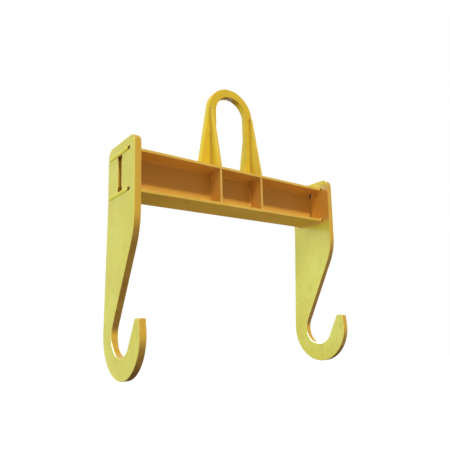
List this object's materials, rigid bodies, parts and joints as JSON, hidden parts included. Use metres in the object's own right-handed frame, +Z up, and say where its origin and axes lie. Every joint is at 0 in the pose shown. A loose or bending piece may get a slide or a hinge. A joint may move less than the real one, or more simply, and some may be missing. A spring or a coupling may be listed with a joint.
{
  "type": "roll lifting beam",
  "caption": "Rigid welded I-beam that hangs from a crane hook by an arched bail, with an open plate hook at each end to carry a roll by its journals.",
  "frame": {"origin": "middle of the bail's seat, the highest point of its inner arch, where the crane hook bears", "axes": "+X along the beam, +Y from the hooks' open side to their closed back, +Z up as it hangs"},
  "size_m": [1.264, 0.38, 1.501],
  "materials": {
    "yellow_paint": "semi-gloss sprayed enamel",
    "painted_weld": "semi-gloss enamel over rippled weld beads"
  },
  "bodies": {
    "root": {"front_left_gusset": "yellow_paint", "front_left_gusset_welds": "painted_weld", "front_left_stiffener": "yellow_paint", "front_left_stiffener_welds": "painted_weld", "front_right_gusset": "yellow_paint", "front_right_gusset_welds": "painted_weld", "front_right_stiffener": "yellow_paint", "front_right_stiffener_welds": "painted_weld", "left_bail_foot_weld": "painted_weld", "left_hook_plate": "yellow_paint", "left_plate_inner_welds": "painted_weld", "left_plate_outer_welds": "painted_weld", "lifting_bail": "yellow_paint", "main_beam": "yellow_paint", "rear_left_gusset": "yellow_paint", "rear_left_gusset_welds": "painted_weld", "rear_left_stiffener": "yellow_paint", "rear_left_stiffener_welds": "painted_weld", "rear_right_gusset": "yellow_paint", "rear_right_gusset_welds": "painted_weld", "rear_right_stiffener": "yellow_paint", "rear_right_stiffener_welds": "painted_weld", "right_bail_foot_weld": "painted_weld", "right_hook_plate": "yellow_paint", "right_plate_inner_welds": "painted_weld", "right_plate_outer_welds": "painted_weld"}
  },
  "joints": []
}
